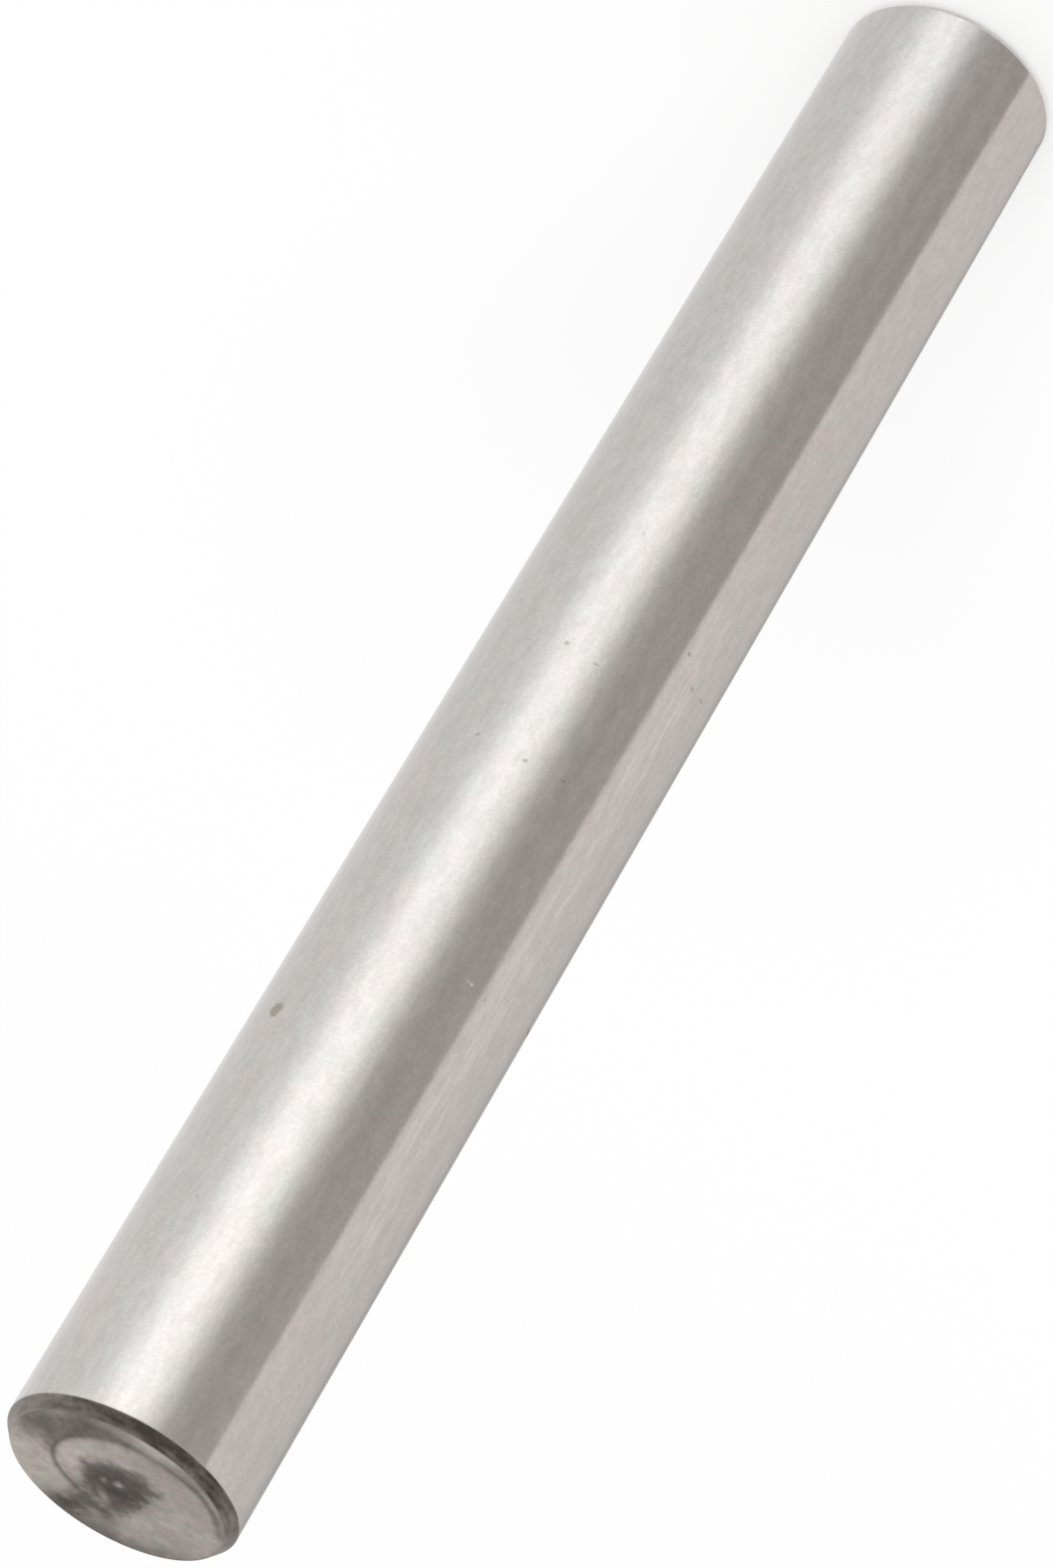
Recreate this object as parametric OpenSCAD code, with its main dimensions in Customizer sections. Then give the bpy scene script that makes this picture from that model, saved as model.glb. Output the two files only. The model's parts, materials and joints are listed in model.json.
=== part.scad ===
// Plain steel dowel pin: a ground cylinder that stands on one flat end.
// Z runs along the pin, and the origin is the centre of the end face it stands on.

/* [Body] */
// Diameter of the ground body
pin_d = 10; // [8:0.5:20]
// Length from end face to end face
pin_len = 80; // [20:1:160]

/* [Ends] */
// Length of each end's lead-in chamfer, along the pin
chamfer_len = 0.48; // [0.3:0.02:1]
// Angle between the chamfer and the pin's axis
chamfer_deg = 35; // [15:1:45]
// Radius that breaks the corner at both edges of a chamfer
edge_r = 0.06; // [0.02:0.01:0.15]

/* [Turned centre] */
// Diameter of the shallow hollow that the facing tool leaves in the upper end
hollow_d = 2.8; // [1.6:0.1:3.6]
// Depth of that hollow at its middle
hollow_depth = 0.1; // [0.08:0.01:0.3]
// Diameter of the small pip left standing in the hollow
pip_d = 0.6; // [0.3:0.05:0.9]
// Height of the pip above the hollow's floor
pip_h = 0.07; // [0.03:0.01:0.08]

/* [Hidden] */
// Radius of the ground body
pin_r = pin_d / 2;
// Radius of the flat end face, up to the chamfer
face_r = pin_r - chamfer_len * tan(chamfer_deg);
// Balls whose caps are the hollow and the pip
hollow_ball_r = cap_ball_r(hollow_d / 2, hollow_depth);
pip_ball_r = cap_ball_r(pip_d / 2, pip_h);
// Sides of a full circle, and steps round a broken corner
round_sides = 96;
corner_steps = 4;

// Radius of the ball that has a cap of radius r and height h
function cap_ball_r(r, h) = (r * r + h * h) / (2 * h);

function unit(v) = v / norm(v);

// Points round the broken corner at p, on an outline that runs anticlockwise from a to b
function broken_corner(a, p, b) =
    let (
        along = unit(p - a),
        onward = unit(b - p),
        turn_deg = acos(along * onward),
        start_deg = atan2(-along[0], along[1]),
        centre = p + unit(onward - along) * edge_r / cos(turn_deg / 2)
    )
    [for (step = [0 : corner_steps])
        let (deg = start_deg + turn_deg * step / corner_steps)
        centre + edge_r * [cos(deg), sin(deg)]];

// Half of the pin's section, from the middle of the lower end to the middle of the upper one
module half_section() {
    outline = [
        [0, 0],
        [face_r, 0],
        [pin_r, chamfer_len],
        [pin_r, pin_len - chamfer_len],
        [face_r, pin_len],
        [0, pin_len]
    ];
    last = len(outline) - 1;
    polygon([
        outline[0],
        for (i = [1 : last - 1])
            each broken_corner(outline[i - 1], outline[i], outline[i + 1]),
        outline[last]
    ]);
}

// The pin is turned from bar: its section is swept round the axis, a ball hollows
// the middle of the upper end, and the cap of a smaller ball stands in that hollow
module dowel_pin() {
    hollow_floor = pin_len - hollow_depth;
    color("#b6b1ac") {
        difference() {
            rotate_extrude($fn = round_sides) half_section();
            translate([0, 0, hollow_floor + hollow_ball_r])
                sphere(r = hollow_ball_r, $fn = round_sides);
        }
        translate([0, 0, hollow_floor + pip_h - pip_ball_r])
            sphere(r = pip_ball_r, $fn = round_sides);
    }
}

dowel_pin();
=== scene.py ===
# %% [markdown]
# # A ground steel dowel pin
# A dowel pin is a short bar of hardened steel that lines two parts up. It is turned to length, its
# ends are faced and chamfered, and its body is ground to size between two wheels. This lesson dresses
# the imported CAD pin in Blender: the same sizes in the same place, with the marks of the tools on it.

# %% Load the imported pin
import json
import math

import bmesh
import bpy
from mathutils import Matrix, Vector, noise

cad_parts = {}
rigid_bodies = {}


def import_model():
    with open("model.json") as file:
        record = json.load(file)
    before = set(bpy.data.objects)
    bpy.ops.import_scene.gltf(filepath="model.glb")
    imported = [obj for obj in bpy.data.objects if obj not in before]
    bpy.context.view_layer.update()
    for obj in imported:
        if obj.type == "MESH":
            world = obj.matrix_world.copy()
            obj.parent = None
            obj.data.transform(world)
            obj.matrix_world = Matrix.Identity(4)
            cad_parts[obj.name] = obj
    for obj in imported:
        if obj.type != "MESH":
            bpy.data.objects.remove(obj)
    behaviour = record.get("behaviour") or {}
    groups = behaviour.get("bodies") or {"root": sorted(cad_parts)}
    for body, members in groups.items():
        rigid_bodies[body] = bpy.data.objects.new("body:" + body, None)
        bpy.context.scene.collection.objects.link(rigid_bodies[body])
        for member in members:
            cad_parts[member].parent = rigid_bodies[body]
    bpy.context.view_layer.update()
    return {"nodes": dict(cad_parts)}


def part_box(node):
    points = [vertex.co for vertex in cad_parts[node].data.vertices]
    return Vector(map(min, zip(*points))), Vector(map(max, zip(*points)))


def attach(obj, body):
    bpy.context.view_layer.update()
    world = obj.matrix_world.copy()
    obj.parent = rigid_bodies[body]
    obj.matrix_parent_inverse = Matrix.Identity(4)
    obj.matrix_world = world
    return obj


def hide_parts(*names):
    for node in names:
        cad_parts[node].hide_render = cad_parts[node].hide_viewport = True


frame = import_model()
MM = 0.001


# %% [markdown]
# ## Sizes
# Every size of the pin is read from the CAD mesh, so the dressed pin follows the part when the part
# changes. The radius and the length are its box. The chamfer starts at the highest point that still
# has the full radius, and it ends at the widest point of the upper face.

# %% Measure the pin
HAIR = 0.001 * MM
# The dressed pin is this much slimmer than the CAD one, so that rounding in a spin can't pass its box
SLIMMER = 0.1 * HAIR

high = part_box("dowel_pin")[1]
pin_r = high.x - SLIMMER
pin_top = high.z
cad_rings = [(math.hypot(v.co.x, v.co.y), v.co.z) for v in frame["nodes"]["dowel_pin"].data.vertices]
chamfer_h = pin_top - max(z for r, z in cad_rings if r > pin_r - HAIR)
face_r = max(r for r, z in cad_rings if z > pin_top - HAIR)
print(f"radius {pin_r / MM:.3f} mm, length {pin_top / MM:.3f} mm")
print(f"chamfer {chamfer_h / MM:.3f} mm along the pin, flat face radius {face_r / MM:.3f} mm")

# %% [markdown]
# ## Camera
# The photograph looks along the pin from above and from the side of its upper end, with the picture
# turned so that the pin leans across it. The camera could be aimed by eye, but the outline of a
# cylinder fixes it: its viewpoint, its long lens and its roll all come from fitting that outline.

# %% Place the camera
CAMERA_MM = (0.222, -215.892, 179.027)
LOOK_DOWN_DEG = 32.131
ROLL_DEG = -149.33
LENS_MM = 141.884
CLIP_START_M, CLIP_END_M = 0.01, 10

camera = bpy.data.objects.new("camera", bpy.data.cameras.new("camera"))
camera.data.lens = LENS_MM
camera.data.clip_start = CLIP_START_M
camera.data.clip_end = CLIP_END_M
tilt = Matrix.Rotation(math.radians(90 - LOOK_DOWN_DEG), 4, "X")
roll = Matrix.Rotation(math.radians(ROLL_DEG), 4, "Z")
camera.matrix_world = Matrix.Translation(Vector(CAMERA_MM) * MM) @ tilt @ roll
bpy.context.scene.collection.objects.link(camera)
bpy.context.scene.camera = camera
print("camera stands", round(Vector(CAMERA_MM).length), "mm from the pin's foot")

# %% [markdown]
# ## The turned body
# A lathe makes the pin, so a spin makes it here. Half of the section is drawn as a line from the
# middle of the lower end to the middle of the upper one, and the line is then spun round the axis.
# A plain cylinder would be quicker, but it has no rings to sculpt. This line is cut finely where a
# tool mark or a pit will need rings, and coarsely where the steel is plain.

# %% Draw half of the section
SPIN_STEPS = 360
# Cuts across the two ends and the two chamfers: the upper ones are sculpted and painted
UPPER_END_CUTS, LOWER_END_CUTS = 80, 9
UPPER_CHAMFER_CUTS, LOWER_CHAMFER_CUTS = 9, 2
# Distance between the cuts of the plain body and of its marked bands
COARSE_MM, FINE_MM = 3.0, 0.065
# Heights between which the body carries a pit or a nick, from the foot up
MARKED_BANDS_MM = (
    (1.3, 1.9), (36.4, 36.7), (37.1, 37.7), (39.2, 40.1),
    (44.9, 45.8), (53.8, 54.3), (55.5, 55.9), (59.5, 60.8),
)
# A few close cuts under the upper chamfer keep the light even there
CLOSE_MM, CLOSE_CUTS = 0.3, 2

pin_bm = bmesh.new()


def draw_to(tip, radius, height, cuts):
    """Extrude the tip of the half section to a new corner, with that many cuts on the way."""
    corner = Vector((radius, 0, height))
    step = (corner - tip.co) / (cuts + 1)
    for _ in range(cuts + 1):
        tip = bmesh.ops.extrude_vert_indiv(pin_bm, verts=[tip])["verts"][0]
        bmesh.ops.translate(pin_bm, verts=[tip], vec=step)
    tip.co = corner
    return tip


tip = pin_bm.verts.new((0, 0, 0))
tip = draw_to(tip, face_r, 0, LOWER_END_CUTS)
tip = draw_to(tip, pin_r, chamfer_h, LOWER_CHAMFER_CUTS)
for band_low, band_high in MARKED_BANDS_MM:
    plain_mm = band_low - tip.co.z / MM
    tip = draw_to(tip, pin_r, band_low * MM, math.ceil(plain_mm / COARSE_MM))
    tip = draw_to(tip, pin_r, band_high * MM, math.ceil((band_high - band_low) / FINE_MM))
close_z = pin_top - chamfer_h - CLOSE_MM * MM
tip = draw_to(tip, pin_r, close_z, math.ceil((close_z - tip.co.z) / MM / COARSE_MM))
tip = draw_to(tip, pin_r, pin_top - chamfer_h, CLOSE_CUTS)
tip = draw_to(tip, face_r, pin_top, UPPER_CHAMFER_CUTS)
draw_to(tip, 0, pin_top, UPPER_END_CUTS)
print("half section:", len(pin_bm.verts), "points")

# %% Spin it and close the seam
bmesh.ops.spin(
    pin_bm, geom=pin_bm.verts[:] + pin_bm.edges[:], cent=(0, 0, 0), axis=(0, 0, 1),
    angle=2 * math.pi, steps=SPIN_STEPS, use_merge=True,
)
bmesh.ops.remove_doubles(pin_bm, verts=pin_bm.verts, dist=HAIR)
bmesh.ops.recalc_face_normals(pin_bm, faces=pin_bm.faces)
print("spun:", len(pin_bm.faces), "faces, open edges:", sum(e.is_boundary for e in pin_bm.edges))

# %% [markdown]
# ## Broken corners
# A turned corner is never razor sharp: the grinding and tumbling break it. A small bevel on the four
# circles round the chamfers catches a thin line of light, as the real corners do.

# %% Bevel the four corner circles
CORNER_MM, CORNER_SEGMENTS = 0.03, 3
ON_CIRCLE = 10 * HAIR
corner_circles = ((face_r, 0), (pin_r, chamfer_h), (pin_r, pin_top - chamfer_h), (face_r, pin_top))


def on_circle(vert, circle):
    """Whether a point lies on a circle round the axis, given as its radius and height."""
    radius, height = circle
    off = math.hypot(math.hypot(vert.co.x, vert.co.y) - radius, vert.co.z - height)
    return off < ON_CIRCLE


corner_edges = [
    edge for edge in pin_bm.edges
    if any(all(on_circle(v, circle) for v in edge.verts) for circle in corner_circles)
]
bmesh.ops.bevel(
    pin_bm, geom=corner_edges, offset=CORNER_MM * MM, offset_type="OFFSET", affect="EDGES",
    segments=CORNER_SEGMENTS, profile=0.5, material=-1, clamp_overlap=True,
)
print("bevelled", len(corner_edges), "corner edges")

# %% [markdown]
# ## Finishes by face
# One piece of steel has several finishes: the ground body, the chamfer and the face of the upper end,
# and the plain lower end, whose face and chamfer share one. Each finish is a material slot. The faces
# are told apart by which way they look, before any of them is sculpted. This comes after the bevel,
# because the bevel would share its own new faces out among the finishes by chance.

# %% Give each face its finish
FINISHES = range(4)
GROUND, UPPER_CHAMFER, UPPER_END, PLAIN_END = FINISHES
# Upward part of a normal at which each finish gives way to the next, from the lower end up
LOWER_END_UP, BODY_UP, CHAMFER_UP = -0.2, 0.4, 0.93

pin_bm.normal_update()
for face in pin_bm.faces:
    face.smooth = True
    if face.normal.z < LOWER_END_UP:
        face.material_index = PLAIN_END
    elif face.normal.z < BODY_UP:
        face.material_index = GROUND
    elif face.normal.z < CHAMFER_UP:
        face.material_index = UPPER_CHAMFER
    else:
        face.material_index = UPPER_END
print("faces per finish:", [sum(f.material_index == i for f in pin_bm.faces) for i in FINISHES])

# %% [markdown]
# ## The faced end
# The facing tool runs from the rim to the middle while the pin turns, so it leaves a spiral scratch,
# a shallow hollow where it stops, and a pip that breaks off at the very centre. These are real
# shapes, so the rings of the face are moved as a sculptor would move them. Everything goes down
# from the flat face, never above it, so that the pin keeps its length.
#
# The places below are shares of the pin's radius on the face as the camera sees it: right is the
# picture's right, and up is towards the camera.

# %% Measure places on the face
# The layer for the paint comes before any list of points, because a new layer can make a list stale
# One value holds the grime, and the painted shade on the rim of the face and on the chamfer
grime_and_shade = pin_bm.verts.layers.float.new("grime_and_shade")


def face_place(co):
    """Where a point of the upper end lies: right, up, distance from the middle and angle in degrees."""
    right = -co.x / pin_r
    up = -co.y / pin_r
    return right, up, math.hypot(right, up), math.degrees(math.atan2(up, right)) % 360


def ease(low_end, high_end, value):
    """A smooth step from 0 at one end to 1 at the other."""
    t = min(max((value - low_end) / (high_end - low_end), 0), 1)
    return t * t * (3 - 2 * t)


def wander(co, size_mm, seed):
    """Smooth noise, about -1 to 1, with blotches of that size."""
    return noise.noise(co / (size_mm * MM) + Vector((seed, seed, seed)))


def follow(line, angle):
    """The values that a line of (angle, value, ...) points has at an angle between two of them."""
    for here, onward in zip(line, line[1:]):
        if angle <= onward[0]:
            break
    share = min(max((angle - here[0]) / (onward[0] - here[0]), 0), 1)
    return [a + (b - a) * share for a, b in zip(here[1:], onward[1:])]


print("the rim towards the camera is at", round(face_place(Vector((0, -pin_r, pin_top)))[3]), "degrees")

# %% Shape of the scratch, the hollow and the pip
# The scratch winds inwards: angle, distance from the middle, half width and darkness
SCRATCH = (
    (0, 0.89, 0.02, 0.0), (20, 0.86, 0.035, 0.45), (45, 0.825, 0.04, 0.75), (60, 0.785, 0.045, 0.65),
    (80, 0.73, 0.055, 0.45), (100, 0.7, 0.055, 0.6), (125, 0.635, 0.045, 0.75), (150, 0.595, 0.04, 0.85),
    (170, 0.575, 0.032, 0.75), (195, 0.55, 0.032, 0.7), (225, 0.49, 0.04, 0.65), (250, 0.43, 0.03, 0.0),
)
SCRATCH_MM = 0.03
HOLLOW_SHARE, HOLLOW_MM = 0.28, 0.1
PIP_SHARE, PIP_MM = 0.06, 0.07
# The face is a little uneven, in waves of this size, up to a fade before the rim
UNEVEN_MM, UNEVEN_WAVE_MM, UNEVEN_SEED = 0.006, 0.9, 3
UNEVEN_FADE = (0.88, 0.92)


def scratch(distance, angle):
    """How dark the scratch is at a point, and how far outside it the point lies."""
    middle, half_width, dark = follow(SCRATCH, angle)
    off = distance - middle
    return dark * math.exp(-((off / half_width) ** 2)), off


upper_end = {v for f in pin_bm.faces if f.material_index == UPPER_END for v in f.verts}
flat_end = [v for v in upper_end if v.co.z > pin_top - HAIR]
for vert in flat_end:
    distance, angle = face_place(vert.co)[2:]
    down = SCRATCH_MM * scratch(distance, angle)[0]
    down += HOLLOW_MM * max(0, 1 - (distance / HOLLOW_SHARE) ** 2)
    down -= PIP_MM * max(0, 1 - (distance / PIP_SHARE) ** 2)
    wave = 1 + wander(vert.co, UNEVEN_WAVE_MM, UNEVEN_SEED)
    down += UNEVEN_MM * (1 - ease(*UNEVEN_FADE, distance)) * wave
    vert.co.z -= max(down, 0) * MM
lowest = min(v.co.z for v in flat_end)
print(f"faced end: {len(flat_end)} points, deepest {(pin_top - lowest) / MM:.3f} mm")

# %% [markdown]
# ## Grime and painted shade on the faced end
# Cutting oil and scale stay in the rough middle and in the scratch. The dark ring along the rim and
# the darkening towards the rim on the side away from the camera are painted shade. A stain could be
# a texture, but it belongs to these shapes, so it is painted on the same points: a value from 0,
# clean, to 1, dark, which holds grime and painted shade and which the materials read as an
# attribute. It is painted as with a soft brush: a dark middle with lobes, then washes, then dabs.
# Each layer covers a part of what is still clean, so the layers join without edges, and a few
# light flecks are wiped out at the end.

# %% Places of the stains
# Reach of the dark middle by angle
MIDDLE_REACH = (
    (0, 0.21), (20, 0.28), (35, 0.39), (55, 0.37), (85, 0.36), (120, 0.3), (138, 0.33), (180, 0.32),
    (215, 0.31), (245, 0.37), (270, 0.44), (288, 0.44), (310, 0.33), (335, 0.24), (360, 0.21),
)
# Pools round the middle: paint, reach and fade. The first one follows the line above
MIDDLE_POOL = (0.8, 0, 0.08)
POOLS = ((0.9, 0.23, 0.07), (0.16, 0.4, 0.1))
# A thin haze dulls the clean steel: paint, then the places between which it sets in
HAZE, HAZE_RIGHT, HAZE_UP = 0.25, (-0.4, 0.2), (0.1, 0.5)
LOW_HAZE, LOW_HAZE_RIGHT, LOW_HAZE_DOWN = 0.14, (0.1, 0.6), (0, -0.6)
# Washes: paint, first and last angle, degrees of fade, and the distances between which it sets in.
# The first one counts its distances from the scratch
SCRATCH_WASH = (0.62, 118, 166, 34, -0.02, 0.05)
WASHES = (
    (0.42, 20, 55, 25, 0.8, 0.86),
    # Painted shade: a dark ring along the rim of the face, next to the chamfer
    (0.35, -30, 165, 40, 0.89, 0.93),
    # Painted shade: the face darker towards its rim on the side away from the camera
    (0.48, 264, 300, 45, 0.66, 0.93),
    (0.4, 250, 275, 25, 0.35, 0.5),
)
# Dabs: right, up, half length, half width, the angle that it runs at, and paint
DARK_DABS = (
    (-0.5, 0.54, 0.2, 0.12, 45, 0.6),
    (-0.7, 0.27, 0.17, 0.13, 80, 0.48),
    (-0.86, 0.18, 0.14, 0.08, 80, 0.4),
    (-0.28, 0.68, 0.2, 0.08, 20, 0.5),
    (-0.16, -0.43, 0.15, 0.14, 90, 0.8),
    (-0.12, -0.6, 0.14, 0.09, 100, 0.65),
    (-0.21, -0.7, 0.18, 0.13, 45, 0.75),
    (-0.3, -0.84, 0.2, 0.11, 164, 0.5),
    (0.02, -0.47, 0.1, 0.05, 90, 0.55),
    (-0.31, -0.27, 0.13, 0.07, 135, 0.3),
    (0.46, 0.5, 0.32, 0.16, 135, 0.18),
    (-0.6, -0.42, 0.3, 0.2, 120, 0.14),
)
LIGHT_DABS = (
    (0.01, 0.0, 0.045, 0.035, 90, 0.6),
    (-0.11, -0.06, 0.04, 0.025, 90, 0.35),
    (-0.04, -0.3, 0.1, 0.04, 124, 0.4),
    (-0.69, 0.57, 0.12, 0.05, 50, 0.18),
    (0.62, 0.62, 0.3, 0.03, 135, 0.13),
    (0.14, 0.865, 0.22, 0.04, 172, 0.2),
    (-0.92, 0.06, 0.2, 0.06, 95, 0.3),
    (0.77, -0.08, 0.28, 0.12, 95, 0.12),
)
print("stains:", len(WASHES), "washes,", len(DARK_DABS), "dark dabs and", len(LIGHT_DABS), "light ones")

# %% Brushes for the stains
# A dab leaves no paint past this many times its half size
DAB_REACH = 3
# Each size of blotch has its own seed, this far from the last one
SEED_STEP = 10


def blotches(co, sizes, seed):
    """Noise in several sizes of blotch at once, each with its share."""
    layers = enumerate(sizes)
    return sum(share * wander(co, size_mm, seed + SEED_STEP * i) for i, (size_mm, share) in layers)


def apart(deg, other_deg):
    """Degrees from one direction to another, the short way round."""
    return abs((deg - other_deg + 180) % 360 - 180)


def between(first, last, angle, fade):
    """1 between two angles, fading to 0 over some degrees beyond each."""
    return 1 - ease(0, fade, apart(angle, (first + last) / 2) - (last - first) / 2)


def pool(brush, distance):
    """Paint inside a reach, with a fade round it."""
    paint, reach, fade = brush
    return paint * (1 - ease(reach - fade, reach + fade, distance))


def wash(brush, distance, angle):
    """Paint between two angles, from some distance outwards."""
    paint, first, last, fade, begin, full = brush
    return paint * between(first, last, angle, fade) * ease(begin, full, distance)


def dab(brush, right, up, ragged):
    """Paint that one soft, ragged dab leaves at a point."""
    x, y, half_length, half_width, turn_deg, paint = brush
    turn = math.radians(turn_deg)
    along = (right - x) * math.cos(turn) + (up - y) * math.sin(turn)
    aside = (up - y) * math.cos(turn) - (right - x) * math.sin(turn)
    off = math.hypot(along / half_length, aside / half_width)
    return paint * math.exp(-(max(off + ragged, 0) ** 2)) if off < DAB_REACH else 0


print("the middle of the first dark dab gets", dab(DARK_DABS[0], *DARK_DABS[0][:2], 0), "of paint")

# %% Paint the faced end
# Blotches that make the edges ragged, and those of the fine mottle: size in mm and share
RAGGED, RAGGED_SEED = ((0.8, 1), (0.35, 0.6), (0.18, 0.5)), 11
MOTTLE, MOTTLE_SEED = ((1.3, 1), (0.5, 0.6), (0.2, 0.5)), 41
# How far raggedness shifts the edge of a pool, a wash and a dab, and how strong the mottle is
RAGGED_POOL, RAGGED_DEG, RAGGED_DARK, RAGGED_LIGHT = 0.05, 6, 0.6, 0.2
MOTTLE_PAINT = 0.1
# From this much on, the printed count calls a point stained
STAINED = 0.5

for vert in upper_end:
    right, up, distance, angle = face_place(vert.co)
    ragged = blotches(vert.co, RAGGED, RAGGED_SEED)
    mottle = MOTTLE_PAINT * blotches(vert.co, MOTTLE, MOTTLE_SEED)
    line, off = scratch(distance, angle)
    rough_distance = distance + RAGGED_POOL * ragged
    rough_angle = angle + RAGGED_DEG * ragged
    layers = [
        HAZE * max(ease(*HAZE_RIGHT, right), ease(*HAZE_UP, up)),
        LOW_HAZE * ease(*LOW_HAZE_RIGHT, right) * ease(*LOW_HAZE_DOWN, up),
        line,
        pool(MIDDLE_POOL, rough_distance - follow(MIDDLE_REACH, angle)[0]),
        wash(SCRATCH_WASH, off, rough_angle),
    ]
    layers += [pool(brush, rough_distance) for brush in POOLS]
    layers += [wash(brush, distance, rough_angle) for brush in WASHES]
    layers += [dab(brush, right, up, RAGGED_DARK * ragged) for brush in DARK_DABS]
    clean = math.prod(1 - layer for layer in layers)
    wiped = max(dab(brush, right, up, RAGGED_LIGHT * ragged) for brush in LIGHT_DABS)
    vert[grime_and_shade] = min(max(1 - clean - wiped + mottle, 0), 1)
print("stained points:", sum(v[grime_and_shade] > STAINED for v in upper_end), "of", len(upper_end))

# %% [markdown]
# ## Scale and painted shade on the upper chamfer
# The chamfer was turned before hardening and never ground, so it still has its dark scale. It is
# painted with the same value: darkest towards the camera, worn at both edges, and streaky, because
# the tool went round. The darkening towards the camera is painted shade over the scale, the dark
# that the chamfer mirrors on that side.

# %% Paint the upper chamfer
# Paint at the darkest angle, where painted shade deepens the scale, how much of it is lost, and
# between which angles away from there
DARKEST_DEG = 82
SCALE_AND_SHADE_PAINT, SCALE_AND_SHADE_LOST, SCALE_AND_SHADE_LOST_DEG = 0.98, 0.78, (10, 90)
# Wear at the edges: paint lost and the shares of the way down the chamfer between which it sets in.
# The inner edge is worn only near the darkest angle
INNER_WEAR, INNER_WEAR_SHARES, INNER_WEAR_DEG = 0.2, (0.6, 0), (50, 15)
OUTER_WEAR, OUTER_WEAR_SHARES = 0.15, (0.75, 1)
TOOL_STREAKS, TOOL_STREAK_LONG_MM, TOOL_STREAK_WIDE_MM = 0.35, 0.9, 0.14

chamfer_verts = {v for f in pin_bm.faces if f.material_index == UPPER_CHAMFER for v in f.verts}
for vert in chamfer_verts:
    away = apart(face_place(vert.co)[3], DARKEST_DEG)
    way_down = (pin_top - vert.co.z) / chamfer_h
    round_x = vert.co.x / TOOL_STREAK_LONG_MM
    round_y = vert.co.y / TOOL_STREAK_LONG_MM
    streak = noise.noise(Vector((round_x, round_y, vert.co.z / TOOL_STREAK_WIDE_MM)) / MM)
    # The scale, with painted shade that is darkest towards the camera and fades to the sides
    scale = SCALE_AND_SHADE_PAINT - SCALE_AND_SHADE_LOST * ease(*SCALE_AND_SHADE_LOST_DEG, away) + TOOL_STREAKS * streak
    scale -= INNER_WEAR * ease(*INNER_WEAR_DEG, away) * ease(*INNER_WEAR_SHARES, way_down)
    scale -= OUTER_WEAR * ease(*OUTER_WEAR_SHARES, way_down)
    vert[grime_and_shade] = min(max(scale, 0), 1)
print("chamfer points:", len(chamfer_verts))

# %% [markdown]
# ## Pits and nicks on the body
# The ground body carries a rust pit, some nicks and a few specks. Each is a small bowl that is pushed
# in towards the axis, with grime at its bottom. One fresh nick is painted bright instead, as a painted
# glint, and the fine streaks where the pin has rubbed along a hole are bright too. Both are painted as
# a second value, which holds the rub marks and the glint.
# An angle is measured from the side that faces the camera, towards the picture's right.

# %% Push the marks in
# Angle in degrees, then height, width, length and depth in mm, then grime, or less than 0 for bright,
# which on the nick at 22 degrees is a painted glint
BODY_MARKS = (
    (-56.5, 60.15, 0.75, 0.95, 0.02, 0.5),
    (82, 54.05, 0.8, 0.3, 0.06, 1.0),
    # This nick's bright paint is a painted glint
    (22, 55.7, 0.3, 0.2, 0.01, -3.0),
    (75.5, 1.6, 0.34, 0.34, 0.03, 0.4),
    (-20.5, 39.5, 0.14, 0.3, 0.012, 0.4),
    (-3, 39.9, 0.3, 0.11, 0.012, 0.4),
    (-36, 45.1, 0.2, 0.2, 0.012, 0.6),
    (-8.5, 45.6, 0.2, 0.2, 0.012, 0.5),
    (12, 45.5, 0.2, 0.2, 0.012, 0.5),
    (34.5, 36.55, 0.22, 0.2, 0.01, 0.4),
    (47, 37.5, 0.4, 0.3, 0.01, 0.3),
    (58, 37.25, 0.34, 0.2, 0.01, 0.45),
    (33, 55.75, 0.22, 0.18, 0.01, 0.45),
)
# A mark's edge is ragged. Its paint sets in between two shares of its reach, and points that lie
# past the last share are skipped
MARK_RAGGED, MARK_RAGGED_MM, MARK_SEED = 0.45, 0.35, 5
MARK_EDGE_SHARES, MARK_PAST_SHARE = (1, 0.6), 2
# The rubbed streaks: paint, the angles and the heights between which they lie, and their fades
RUBBED, RUBBED_DEG, RUBBED_MM = 0.5, (33, 47), (40, 64)
RUBBED_FADE_DEG, RUBBED_FADE_MM = 4, 10

rubbed_and_glint = pin_bm.verts.layers.float.new("rubbed_and_glint")
body_verts = {v for f in pin_bm.faces if f.material_index == GROUND for v in f.verts}
for vert in body_verts:
    deg = math.degrees(math.atan2(-vert.co.x, -vert.co.y))
    height = vert.co.z / MM
    up_from = ease(RUBBED_MM[0] - RUBBED_FADE_MM, RUBBED_MM[0], height)
    up_to = ease(RUBBED_MM[1] + RUBBED_FADE_MM, RUBBED_MM[1], height)
    vert[rubbed_and_glint] = RUBBED * up_from * up_to * between(*RUBBED_DEG, deg, RUBBED_FADE_DEG)
    for mark_deg, mark_z, width, length, depth, paint in BODY_MARKS:
        off_z = (height - mark_z) / (length / 2)
        off_turn = math.radians(deg - mark_deg) * pin_r / MM / (width / 2)
        off = math.hypot(off_z, off_turn)
        if off > MARK_PAST_SHARE:
            continue
        off += MARK_RAGGED * wander(vert.co, MARK_RAGGED_MM, MARK_SEED)
        if off < 1:
            outward = Vector((vert.co.x, vert.co.y, 0)).normalized()
            vert.co -= outward * depth * (1 - off * off) ** 2 * MM
            vert[grime_and_shade] = max(vert[grime_and_shade], paint * ease(*MARK_EDGE_SHARES, off))
            vert[rubbed_and_glint] = max(vert[rubbed_and_glint], -paint * ease(*MARK_EDGE_SHARES, off))
print("marks on the body:", len(BODY_MARKS))

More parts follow.
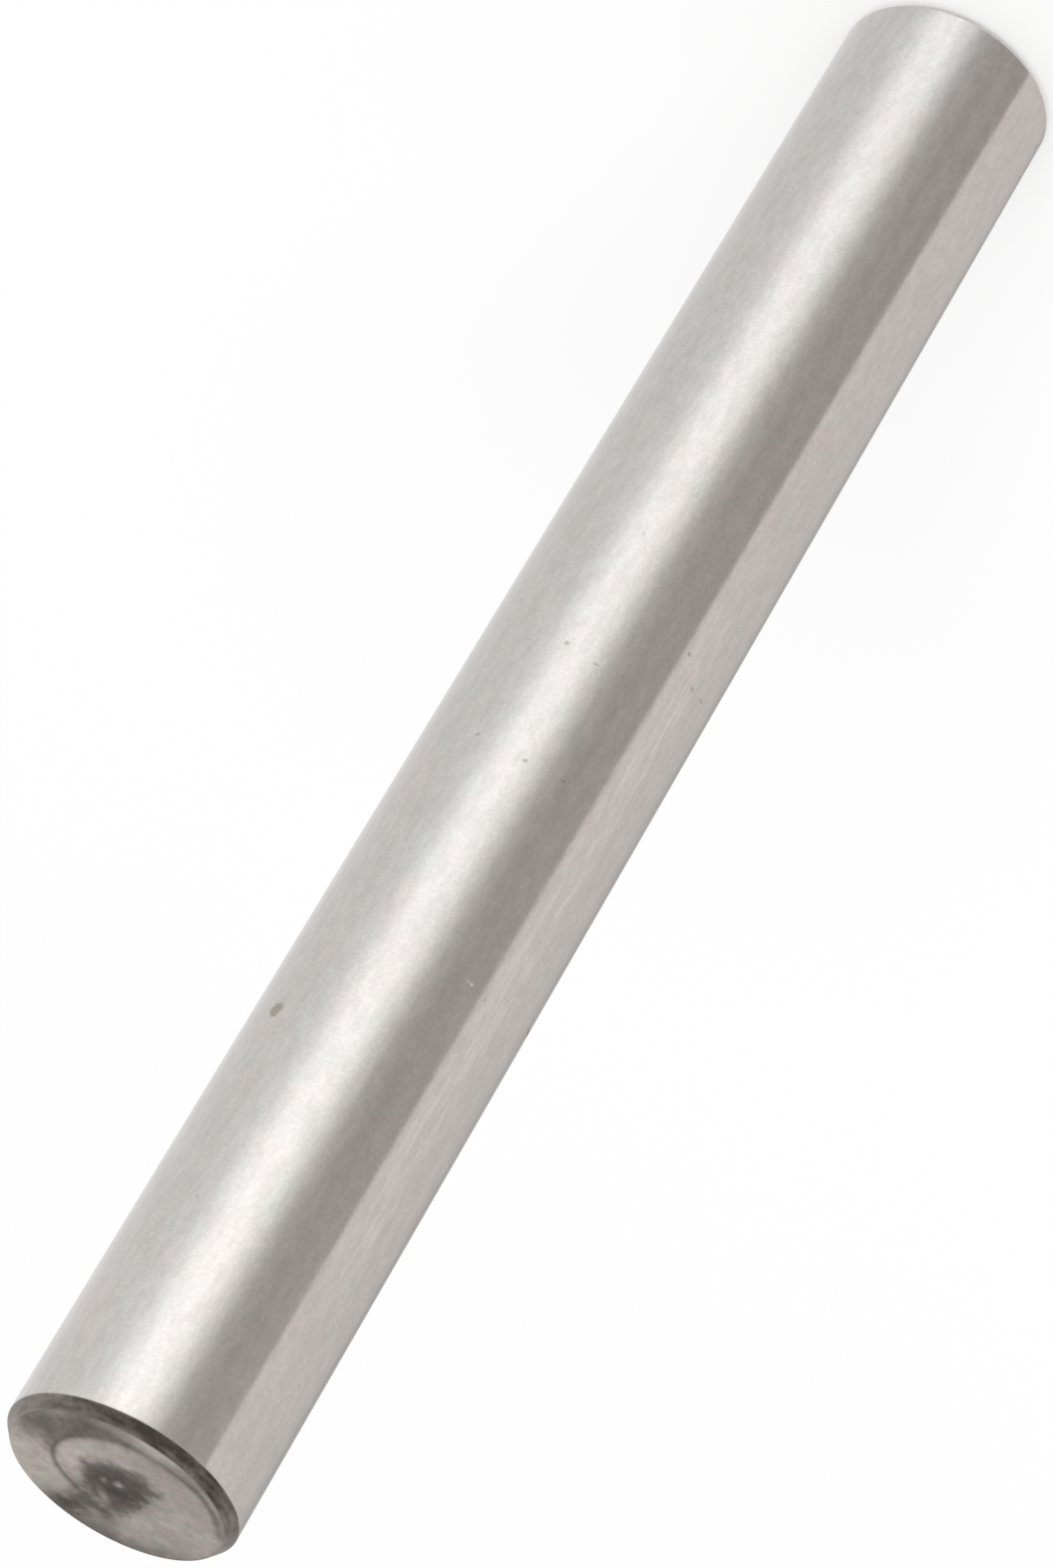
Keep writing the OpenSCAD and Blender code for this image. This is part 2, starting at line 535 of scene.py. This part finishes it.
# %% [markdown]
# ## One object
# So far the pin is a bmesh, a mesh on the workbench. It is now written into a mesh that an object can
# carry. The object stays at the origin, unturned and unscaled, because its points already lie where
# those of the CAD pin do, and the patterns of the materials are measured from there.

# %% Make it an object
pin_mesh = bpy.data.meshes.new("ground_pin")
pin_bm.to_mesh(pin_mesh)
pin_bm.free()
pin = bpy.data.objects.new("ground_pin", pin_mesh)
bpy.context.scene.collection.objects.link(pin)
print("ground_pin:", len(pin_mesh.vertices), "points,", len(pin_mesh.loop_triangles), "triangles")

# %% [markdown]
# ## Tools for the materials
# Colours are picked as sRGB hex values, as in any paint program, and Blender works in linear light,
# so one function turns one into the other. One more adds a node with its settings and its links.

# %% Colour and node helpers
MIX_FACTOR, MIX_A, MIX_B, MIX_RESULT = 0, 6, 7, 2
# Stops that a new ramp already has
FIRST_STOPS = 2
# Layers of finer and finer noise in a pattern
SOME_DETAIL, MORE_DETAIL, MOST_DETAIL = 2.0, 3.0, 5.0


def linear(hex_colour):
    """An sRGB hex colour as linear red, green, blue and alpha."""
    values = [int(hex_colour[i:i + 2], 16) / 255 for i in (1, 3, 5)]
    return [v / 12.92 if v <= 0.04045 else ((v + 0.055) / 1.055) ** 2.4 for v in values] + [1.0]


def add(tree, kind, inputs=None, stops=None, **settings):
    """Add a node: its settings, its sockets (a value, or a socket to link from) and its ramp's stops."""
    node = tree.nodes.new(kind)
    for name, value in settings.items():
        setattr(node, name, value)
    for socket, value in (inputs or {}).items():
        if isinstance(value, bpy.types.NodeSocket):
            tree.links.new(value, node.inputs[socket])
        else:
            node.inputs[socket].default_value = value
    for index, (place, hex_colour) in enumerate(stops or ()):
        elements = node.color_ramp.elements
        stop = elements[index] if index < FIRST_STOPS else elements.new(place)
        stop.position = place
        stop.color = linear(hex_colour)
    return node


def per_metre(size_mm):
    """The scale at which a texture repeats once in that size."""
    return 1 / (size_mm * MM)


def new_material(name):
    """A material with its tree of nodes and its Principled shader, ready for more."""
    material = bpy.data.materials.new(name)
    material.use_nodes = True
    return material, material.node_tree, material.node_tree.nodes["Principled BSDF"]


print("a middle grey in linear light:", round(linear("#808080")[0], 3))

# %% [markdown]
# ## Ground steel
# The body is hardened steel, ground between two wheels: a satin metal, bright enough to mirror its
# surroundings as soft bands. Its colour is a light grey with clouds of a warmer and a cooler tint.
# The wheel's grit leaves a fine grain. Real grit marks are thinner than a hair and would be lost in
# the picture, so the grain is drawn coarser than it is. Handling has left a faint mottle, drawn out
# along the pin. A few specks are left too, and fine bright streaks run along the pin where it has
# rubbed. A plain metal shader would give the bands, but it would look like chrome plating.

# %% Ground steel and its grain
STEEL_WARM = "#d5cfcc"
STEEL_COOL = "#d0d1cd"
STEEL_DULL = "#cbc8c6"
HANDLED = "#f7f6f6"
CLOUD_MM = 1.7
GRIT_MM, GRIT_HEIGHT_MM = 0.16, 0.0012
HANDLED_MM, HANDLED_STRETCH = 0.36, 0.33
# The part of each noise that is spread from 0 to 1: the narrower it is, the harder the pattern
CLOUD_SPAN = {"From Min": 0.4, "From Max": 0.6}
GRIT_SPAN = {"From Min": 0.35, "From Max": 0.65}
HANDLED_SPAN = {"From Min": 0.38, "From Max": 0.62}

ground_steel, tree, shader = new_material("centreless_ground_steel")
shader.inputs["Metallic"].default_value = 1.0
place = add(tree, "ShaderNodeTexCoord").outputs["Object"]
cloud = add(tree, "ShaderNodeTexNoise", {
    "Vector": place, "Scale": per_metre(CLOUD_MM), "Detail": MORE_DETAIL})
cloud = add(tree, "ShaderNodeMapRange", {"Value": cloud.outputs["Fac"], **CLOUD_SPAN})
steel = add(tree, "ShaderNodeMix", {
    MIX_FACTOR: cloud.outputs[0], MIX_A: linear(STEEL_WARM), MIX_B: linear(STEEL_COOL)},
    data_type="RGBA")
grit = add(tree, "ShaderNodeTexNoise", {
    "Vector": place, "Scale": per_metre(GRIT_MM), "Detail": SOME_DETAIL})
grain = add(tree, "ShaderNodeMapRange", {"Value": grit.outputs["Fac"], **GRIT_SPAN})
steel = add(tree, "ShaderNodeMix", {
    MIX_FACTOR: grain.outputs[0], MIX_A: steel.outputs[MIX_RESULT], MIX_B: linear(STEEL_DULL)},
    data_type="RGBA")
drawn_out = add(tree, "ShaderNodeMapping", {"Vector": place, "Scale": (1, 1, HANDLED_STRETCH)})
handled = add(tree, "ShaderNodeTexNoise", {
    "Vector": drawn_out.outputs[0], "Scale": per_metre(HANDLED_MM), "Detail": MORE_DETAIL})
handled = add(tree, "ShaderNodeMapRange", {"Value": handled.outputs["Fac"], **HANDLED_SPAN})
steel = add(tree, "ShaderNodeMix", {
    MIX_FACTOR: handled.outputs[0], MIX_A: steel.outputs[MIX_RESULT], MIX_B: linear(HANDLED)},
    data_type="RGBA", blend_type="MULTIPLY")
relief = add(tree, "ShaderNodeBump", {"Height": grit.outputs["Fac"], "Distance": GRIT_HEIGHT_MM * MM})
tree.links.new(relief.outputs[0], shader.inputs["Normal"])
print("grain of", GRIT_MM, "mm,", GRIT_HEIGHT_MM, "mm high")

# %% Bright streaks and nicks
# Bright steel for the rub streaks, and for the painted glint on one nick
STEEL_BRIGHT = "#eae7e4"
STREAK_MM, STREAK_STRETCH = 0.15, 0.06
STREAK_SPAN = {"From Min": 0.5, "From Max": 0.65, "To Min": 0.15}

stretched = add(tree, "ShaderNodeMapping", {"Vector": place, "Scale": (1, 1, STREAK_STRETCH)})
streak = add(tree, "ShaderNodeTexNoise", {
    "Vector": stretched.outputs[0], "Scale": per_metre(STREAK_MM), "Detail": SOME_DETAIL})
streak = add(tree, "ShaderNodeMapRange", {"Value": streak.outputs["Fac"], **STREAK_SPAN})
# The second value: rub streaks, and the painted glint on one nick
rub_and_glint = add(tree, "ShaderNodeAttribute", attribute_name="rubbed_and_glint")
bright = add(tree, "ShaderNodeMath", {
    0: streak.outputs[0], 1: rub_and_glint.outputs["Fac"]}, operation="MULTIPLY", use_clamp=True)
steel = add(tree, "ShaderNodeMix", {
    MIX_FACTOR: bright.outputs[0], MIX_A: steel.outputs[MIX_RESULT], MIX_B: linear(STEEL_BRIGHT)},
    data_type="RGBA")
print("streaks about", round(STREAK_MM / STREAK_STRETCH, 1), "mm long")

# %% Specks and pits, which are dull as well as dark
PIT = "#746c54"
SPECK_MM, SPECK_CELL_MM = 0.11, 1.8
# Share of a speck that is its dark core, and the most paint that one gets
SPECK_CORE_SHARE, SPECK_PAINT = 0.4, 0.5
# Roughness of the clean steel, and where it is marked
SATIN, MARKED = 0.135, 0.45

speck_share = SPECK_MM / SPECK_CELL_MM
cells = add(tree, "ShaderNodeTexVoronoi", {"Vector": place, "Scale": per_metre(SPECK_CELL_MM)})
speck = add(tree, "ShaderNodeMapRange", {
    "Value": cells.outputs["Distance"], "From Min": SPECK_CORE_SHARE * speck_share,
    "From Max": speck_share, "To Min": SPECK_PAINT, "To Max": 0.0})
speck = add(tree, "ShaderNodeMath", {0: speck.outputs[0], 1: cells.outputs["Color"]}, operation="MULTIPLY")
pits = add(tree, "ShaderNodeAttribute", attribute_name="grime_and_shade")
dark = add(tree, "ShaderNodeMath", {0: speck.outputs[0], 1: pits.outputs["Fac"]}, operation="MAXIMUM")
colour = add(tree, "ShaderNodeMix", {
    MIX_FACTOR: dark.outputs[0], MIX_A: steel.outputs[MIX_RESULT], MIX_B: linear(PIT)}, data_type="RGBA")
tree.links.new(colour.outputs[MIX_RESULT], shader.inputs["Base Color"])
dull = add(tree, "ShaderNodeMath", {0: dark.outputs[0], 1: bright.outputs[0]}, operation="MAXIMUM")
sheen = add(tree, "ShaderNodeMapRange", {"Value": dull.outputs[0], "To Min": SATIN, "To Max": MARKED})
tree.links.new(sheen.outputs[0], shader.inputs["Roughness"])
print("ground steel:", len(tree.nodes), "nodes")

# %% [markdown]
# ## Hardening scale and painted shade
# The scale on the chamfer is a dark brown-grey skin, half dull, with grey steel showing where it is
# worn. Its darkest colour also stands for painted shade on the side towards the camera. An even dark
# colour would look like paint, so small patches vary it.

# %% Scale and painted shade on the chamfer
# The darkest colour is scale in painted shade
SCALE_AND_SHADE_DARK = "#4a4340"
SCALE_WORN = "#9c9692"
SCALE_ROUGHNESS = 0.42
SCALE_PATCH_MM = 0.25
PATCH_SPAN = {"From Min": 0.3, "From Max": 0.7, "To Min": -0.1, "To Max": 0.1}

scale_and_shade_chamfer, tree, shader = new_material("hardening_scale_and_painted_shade_on_turned_steel")
shader.inputs["Metallic"].default_value = 1.0
shader.inputs["Roughness"].default_value = SCALE_ROUGHNESS
place = add(tree, "ShaderNodeTexCoord").outputs["Object"]
patch = add(tree, "ShaderNodeTexNoise", {
    "Vector": place, "Scale": per_metre(SCALE_PATCH_MM), "Detail": MORE_DETAIL})
patch = add(tree, "ShaderNodeMapRange", {"Value": patch.outputs["Fac"], **PATCH_SPAN})
paint = add(tree, "ShaderNodeAttribute", attribute_name="grime_and_shade")
dark = add(tree, "ShaderNodeMath", {
    0: paint.outputs["Fac"], 1: patch.outputs[0]}, operation="ADD", use_clamp=True)
colour = add(tree, "ShaderNodeMix", {
    MIX_FACTOR: dark.outputs[0], MIX_A: linear(SCALE_WORN), MIX_B: linear(SCALE_AND_SHADE_DARK)},
    data_type="RGBA")
tree.links.new(colour.outputs[MIX_RESULT], shader.inputs["Base Color"])
print("chamfer:", len(tree.nodes), "nodes")

# %% [markdown]
# ## The faced ends
# The end is faced steel: duller than the ground body, a warm grey with soft clouds and a breath of
# warmer and cooler tint, and dark where the grime lies and where shade is painted near its rim. The
# other end stands on the bench. It is taken to be the same steel, clean, so a loop makes both and
# only the colour of the stain and painted shade differs.

# %% Faced steel
FACED = "#cfc8c4"
FACED_DULL = "#b5afac"
TINT_WARM = "#fff8f6"
TINT_COOL = "#f6fbf8"
# The dark colour of the grime, which also stands for the painted shade near the rim
STAIN_AND_SHADE = "#514a47"
FACED_ROUGHNESS, STAINED_ROUGHNESS = 0.36, 0.5
FACE_CLOUD_MM = 0.5
FACE_CLOUD_NOISE = {"Detail": MOST_DETAIL, "Roughness": 0.65}
FACE_CLOUD_SPAN = {"From Min": 0.3, "From Max": 0.7}
FACE_TINT_MM = 0.7
FACE_TINT_SPAN = {"From Min": 0.38, "From Max": 0.62}

faced_ends = []
for name, stain_and_shade_colour in (("faced_steel_with_oil_stain_and_painted_shade", STAIN_AND_SHADE), ("faced_steel", FACED_DULL)):
    faced, tree, shader = new_material(name)
    shader.inputs["Metallic"].default_value = 1.0
    place = add(tree, "ShaderNodeTexCoord").outputs["Object"]
    clouds = add(tree, "ShaderNodeTexNoise", {
        "Vector": place, "Scale": per_metre(FACE_CLOUD_MM), **FACE_CLOUD_NOISE})
    clouds = add(tree, "ShaderNodeMapRange", {"Value": clouds.outputs["Fac"], **FACE_CLOUD_SPAN})
    steel = add(tree, "ShaderNodeMix", {
        MIX_FACTOR: clouds.outputs[0], MIX_A: linear(FACED), MIX_B: linear(FACED_DULL)},
        data_type="RGBA")
    stain_and_shade = add(tree, "ShaderNodeAttribute", attribute_name="grime_and_shade")
    colour = add(tree, "ShaderNodeMix", {
        MIX_FACTOR: stain_and_shade.outputs["Fac"], MIX_A: steel.outputs[MIX_RESULT], MIX_B: linear(stain_and_shade_colour)},
        data_type="RGBA")
    tints = add(tree, "ShaderNodeTexNoise", {
        "Vector": place, "Scale": per_metre(FACE_TINT_MM), "Detail": MORE_DETAIL})
    tints = add(tree, "ShaderNodeMapRange", {"Value": tints.outputs["Fac"], **FACE_TINT_SPAN})
    tints = add(tree, "ShaderNodeMix", {
        MIX_FACTOR: tints.outputs[0], MIX_A: linear(TINT_WARM), MIX_B: linear(TINT_COOL)},
        data_type="RGBA")
    colour = add(tree, "ShaderNodeMix", {
        MIX_FACTOR: 1.0, MIX_A: colour.outputs[MIX_RESULT], MIX_B: tints.outputs[MIX_RESULT]},
        data_type="RGBA", blend_type="MULTIPLY")
    tree.links.new(colour.outputs[MIX_RESULT], shader.inputs["Base Color"])
    dull = add(tree, "ShaderNodeMapRange", {
        "Value": stain_and_shade.outputs["Fac"], "To Min": FACED_ROUGHNESS, "To Max": STAINED_ROUGHNESS})
    tree.links.new(dull.outputs[0], shader.inputs["Roughness"])
    faced_ends.append(faced)
print("faced ends:", [m.name for m in faced_ends])

# %% [markdown]
# ## Dress the pin
# The materials go on in the order of the finishes, because a face names its finish by number. The
# frame is then told that the pin rides on the part's one body and takes the place of the CAD pin.

# %% Dress the pin and hand it to the frame
for material in (ground_steel, scale_and_shade_chamfer, *faced_ends):
    pin_mesh.materials.append(material)
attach(pin, "root")
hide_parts("dowel_pin")
print("finishes:", [m.name for m in pin_mesh.materials])

# %% [markdown]
# ## Floor
# A plain pale floor carries the pin and its soft shadow. Near the pin, half of its white comes from
# the lamp and the room, so that the shadow stays, and the rest is its own glow, which only the camera
# sees. Farther out the glow takes over, so the floor runs into the white room without a horizon.

# %% Pale floor
FLOOR_M = 12

floor_bm = bmesh.new()
bmesh.ops.create_grid(floor_bm, x_segments=1, y_segments=1, size=FLOOR_M / 2)
floor_mesh = bpy.data.meshes.new("floor")
floor_bm.to_mesh(floor_mesh)
floor_bm.free()
floor = bpy.data.objects.new("floor", floor_mesh)
bpy.context.scene.collection.objects.link(floor)
print("floor:", FLOOR_M, "m square")

# %% Pale paper
FLOOR_PALE = "#e6e6e6"
# Share of the glow near the pin, and the distances between which it takes over
FLOOR_GLOW = 0.5
GLOW_FROM_M, GLOW_TO_M = 0.12, 0.6
# A strength of 1 is white, and a little more makes up for the shade of the paper
GLOW_STRENGTH = 1.04

pale_floor, tree, shader = new_material("pale_paper")
shader.inputs["Base Color"].default_value = linear(FLOOR_PALE)
shader.inputs["Roughness"].default_value = 1.0
shader.inputs["Specular IOR Level"].default_value = 0.0
rays = add(tree, "ShaderNodeLightPath")
seen = add(tree, "ShaderNodeMath", {
    0: rays.outputs["Is Camera Ray"], 1: rays.outputs["Is Transmission Ray"]}, operation="MAXIMUM")
place = add(tree, "ShaderNodeTexCoord").outputs["Object"]
reach = add(tree, "ShaderNodeVectorMath", {0: place}, operation="LENGTH")
glow = add(tree, "ShaderNodeMapRange", {
    "Value": reach.outputs["Value"], "From Min": GLOW_FROM_M, "From Max": GLOW_TO_M,
    "To Min": FLOOR_GLOW}, interpolation_type="SMOOTHSTEP")
share = add(tree, "ShaderNodeMath", {0: seen.outputs[0], 1: glow.outputs[0]}, operation="MULTIPLY")
white = add(tree, "ShaderNodeEmission", {"Color": linear("#ffffff"), "Strength": GLOW_STRENGTH})
paper = add(tree, "ShaderNodeMixShader", {0: share.outputs[0], 1: shader.outputs[0], 2: white.outputs[0]})
tree.links.new(paper.outputs[0], tree.nodes["Material Output"].inputs["Surface"])
floor_mesh.materials.append(pale_floor)
print("paper glows in full from", GLOW_TO_M, "m outwards")

# %% [markdown]
# ## Cards round the pin
# Bright metal has hardly any look of its own: it shows what stands round it. A photographer sets
# white, grey and dark cards in a ring, just out of the picture, and each one becomes a band along
# the pin. Lamps alone would leave it black with a few hard lines. Here one round sheet, which only
# reflections see, carries the tones of all the cards.
#
# The sheet lies a little below the floor, as cards lie below a glass shelf, and the floor is left
# out of the reflections. So the bands run straight down to the foot of the pin. On the floor itself
# they would curl in there.

# %% A sheet round the pin
# Its section, as distance from the axis and height: a flat disc, a slope and a wall
SHEET_MM = ((0, -40), (300, -40), (600, 300), (600, 900))
SHEET_STEPS = 96

sheet_bm = bmesh.new()
points = [sheet_bm.verts.new((r * MM, 0, z * MM)) for r, z in SHEET_MM]
for start, end in zip(points, points[1:]):
    sheet_bm.edges.new((start, end))
bmesh.ops.spin(
    sheet_bm, geom=sheet_bm.verts[:] + sheet_bm.edges[:], cent=(0, 0, 0), axis=(0, 0, 1),
    angle=2 * math.pi, steps=SHEET_STEPS, use_merge=True,
)
bmesh.ops.remove_doubles(sheet_bm, verts=sheet_bm.verts, dist=HAIR)
sheet_mesh = bpy.data.meshes.new("card_ring")
sheet_bm.to_mesh(sheet_mesh)
sheet_bm.free()
card_ring = bpy.data.objects.new("card_ring", sheet_mesh)
bpy.context.scene.collection.objects.link(card_ring)
card_ring.visible_camera = False
card_ring.visible_diffuse = False
card_ring.visible_transmission = False
card_ring.visible_volume_scatter = False
card_ring.visible_shadow = False
floor.visible_glossy = False
print("card ring:", len(sheet_mesh.polygons), "faces")

# %% [markdown]
# ## Tones of the cards
# Each tone is an angle round the pin, anticlockwise from the camera's side when seen from above, and
# the tones are joined by smooth slopes. Close to the pin some of them are a little dimmer, because
# the lower half of the pin shows that part and is less bright there.
#
# On the right of the picture one pale card with a straight edge lies over the ring. Its edge runs
# past the pin, not at it, and draws a sharp line along the pin that wanders a little on its way down.
# White paper lies right under the foot. Far out, where low views look, the tones are those of a
# soft room, and above them is a plain ceiling.

# %% The ring of cards
RING = (
    (-180, "#b2b0ae"), (-45, "#9b9694"), (-30, "#96918f"), (-20, "#9c9896"), (-10, "#a9a6a4"),
    (0, "#cac9c7"), (10, "#e9e9e7"), (20, "#fbfbfa"), (30, "#ffffff"), (40, "#fbfcfb"),
    (50, "#e8e9e8"), (60, "#d6d7d6"), (70, "#cdcecd"), (90, "#c6c6c4"), (150, "#c6c5c4"),
    (158, "#c8c7c6"), (180, "#b2b0ae"),
)
# The dimmer, from near to far, and the distances that it runs between
DIMMER = ((0.0, "#eff1f4"), (0.15, "#f1f1f1"), (1.0, "#ffffff"))
NEAR_MM, FAR_MM = 50, 240
# Where the ring is dimmed: white in full, black not at all
DIMMED = (
    (-56, "#ffffff"), (-44, "#000000"), (-18, "#000000"), (-5, "#ffffff"), (50, "#ffffff"),
    (90, "#bcbcbc"),
)
# A ramp starts and ends behind the pin, so the camera's side is its middle
BEHIND_DEG = 90


def by_angle(tones):
    """The stops of a ramp round the pin, which starts and ends behind it."""
    return [(0.5 + deg / 360, tone) for deg, tone in tones]


cards, tree, shader = new_material("card_tones")
tree.nodes.remove(shader)
place = add(tree, "ShaderNodeTexCoord").outputs["Object"]
facing = add(tree, "ShaderNodeMapping", {
    "Vector": place, "Rotation": (0, 0, math.radians(BEHIND_DEG))})
around = add(tree, "ShaderNodeTexGradient", {"Vector": facing.outputs[0]}, gradient_type="RADIAL")
ring = add(tree, "ShaderNodeValToRGB", {"Fac": around.outputs["Fac"]}, stops=by_angle(RING))
away = add(tree, "ShaderNodeVectorMath", {0: place}, operation="LENGTH")
away = add(tree, "ShaderNodeMapRange", {
    "Value": away.outputs["Value"], "From Min": NEAR_MM * MM, "From Max": FAR_MM * MM})
dimmer = add(tree, "ShaderNodeValToRGB", {"Fac": away.outputs[0]}, stops=DIMMER)
dimmed = add(tree, "ShaderNodeValToRGB", {"Fac": around.outputs["Fac"]}, stops=by_angle(DIMMED))
ring = add(tree, "ShaderNodeMix", {
    MIX_FACTOR: dimmed.outputs["Color"], MIX_A: ring.outputs["Color"], MIX_B: dimmer.outputs["Color"]},
    data_type="RGBA", blend_type="MULTIPLY")
print("ring:", len(RING), "tones")

# %% The pale card and its straight edge, on the right only
PALE_CARD = (
    (-180, "#b2b0ae"), (-157, "#908e8c"), (-145, "#a9a6a4"), (-130, "#b6b2b0"), (-100, "#bdb9b7"),
    (-65, "#c3bebc"),
)
# The edge: the direction from which the card lies beyond it, its distance from the axis, half its softness
PALE_EDGE_DEG, PALE_EDGE_MM, PALE_SOFT_MM = -57, 10, 0.5

edge = math.radians(PALE_EDGE_DEG)
pale = add(tree, "ShaderNodeValToRGB", {"Fac": around.outputs["Fac"]}, stops=by_angle(PALE_CARD))
past_edge = add(tree, "ShaderNodeVectorMath", {
    0: place, 1: (-math.cos(edge), -math.sin(edge), 0)}, operation="DOT_PRODUCT")
past_edge = add(tree, "ShaderNodeMapRange", {
    "Value": past_edge.outputs["Value"], "From Min": (PALE_EDGE_MM - PALE_SOFT_MM) * MM,
    "From Max": (PALE_EDGE_MM + PALE_SOFT_MM) * MM})
sides = add(tree, "ShaderNodeSeparateXYZ", {0: place})
on_right = add(tree, "ShaderNodeMath", {0: sides.outputs["X"], 1: 0.0}, operation="LESS_THAN")
on_card = add(tree, "ShaderNodeMath", {
    0: past_edge.outputs[0], 1: on_right.outputs[0]}, operation="MULTIPLY")
low_tone = add(tree, "ShaderNodeMix", {
    MIX_FACTOR: on_card.outputs[0], MIX_A: ring.outputs[MIX_RESULT], MIX_B: pale.outputs["Color"]},
    data_type="RGBA")
print("pale card:", len(PALE_CARD), "tones")

# %% The paper under the foot, the room beyond the cards and the ceiling above
CARD_LIGHT = 1.6
PAPER = "#d0d0d0"
PAPER_MM, PAPER_EDGE_MM = 25, 40
ROOM = (
    (-180, "#b6b4b2"), (-140, "#a8a5a3"), (-95, "#c6c3c1"), (-50, "#a39f9d"), (-15, "#9a9795"),
    (30, "#f0f0ef"), (65, "#cfcfce"), (110, "#b3b2b0"), (145, "#c9c8c7"), (180, "#b6b4b2"),
)
ROOM_FROM_MM, ROOM_TO_MM = 260, 360
CEILING = "#c1bfbd"
CEILING_FROM_MM, CEILING_TO_MM = 150, 330

level = add(tree, "ShaderNodeMapping", {"Vector": place, "Scale": (1, 1, 0)})
reach = add(tree, "ShaderNodeVectorMath", {0: level.outputs[0]}, operation="LENGTH")
under = add(tree, "ShaderNodeMapRange", {
    "Value": reach.outputs["Value"], "From Min": PAPER_EDGE_MM * MM, "From Max": PAPER_MM * MM},
    interpolation_type="SMOOTHSTEP")
low_tone = add(tree, "ShaderNodeMix", {
    MIX_FACTOR: under.outputs[0], MIX_A: low_tone.outputs[MIX_RESULT], MIX_B: linear(PAPER)},
    data_type="RGBA")
room = add(tree, "ShaderNodeValToRGB", {"Fac": around.outputs["Fac"]}, stops=by_angle(ROOM))
far = add(tree, "ShaderNodeMapRange", {
    "Value": reach.outputs["Value"], "From Min": ROOM_FROM_MM * MM, "From Max": ROOM_TO_MM * MM},
    interpolation_type="SMOOTHSTEP")
tone = add(tree, "ShaderNodeMix", {
    MIX_FACTOR: far.outputs[0], MIX_A: low_tone.outputs[MIX_RESULT], MIX_B: room.outputs["Color"]},
    data_type="RGBA")
above = add(tree, "ShaderNodeMapRange", {
    "Value": sides.outputs["Z"], "From Min": CEILING_FROM_MM * MM, "From Max": CEILING_TO_MM * MM},
    interpolation_type="SMOOTHSTEP")
tone = add(tree, "ShaderNodeMix", {
    MIX_FACTOR: above.outputs[0], MIX_A: tone.outputs[MIX_RESULT], MIX_B: linear(CEILING)},
    data_type="RGBA")
light = add(tree, "ShaderNodeEmission", {"Color": tone.outputs[MIX_RESULT], "Strength": CARD_LIGHT})
tree.links.new(light.outputs[0], tree.nodes["Material Output"].inputs["Surface"])
cards.cycles.emission_sampling = "NONE"
sheet_mesh.materials.append(cards)
print("cards:", len(tree.nodes), "nodes")

# %% [markdown]
# ## Soft light
# A plain white room and one broad lamp behind the camera light the floor, and the shadow falls
# behind the pin. The metal doesn't see the lamp: the cards are its light.

# %% Lamp, room and picture settings
ROOM_LIGHT = 1.0
LAMP_M, LAMP_W = 0.5, 3.0
LAMP_PLACE_M = (0, -0.5, 0.9)

world = bpy.data.worlds.new("white_room")
bpy.context.scene.world = world
world.use_nodes = True
world.node_tree.nodes["Background"].inputs["Color"].default_value = linear("#ffffff")
world.node_tree.nodes["Background"].inputs["Strength"].default_value = ROOM_LIGHT

lamp = bpy.data.objects.new("soft_lamp", bpy.data.lights.new("soft_lamp", "AREA"))
lamp.data.shape = "DISK"
lamp.data.size = LAMP_M
lamp.data.energy = LAMP_W
lamp.location = LAMP_PLACE_M
lamp.rotation_euler = (-lamp.location).to_track_quat("-Z", "Y").to_euler()
lamp.visible_glossy = False
bpy.context.scene.collection.objects.link(lamp)
bpy.context.scene.view_settings.view_transform = "Standard"
print("lamp:", lamp.data.energy, "W")
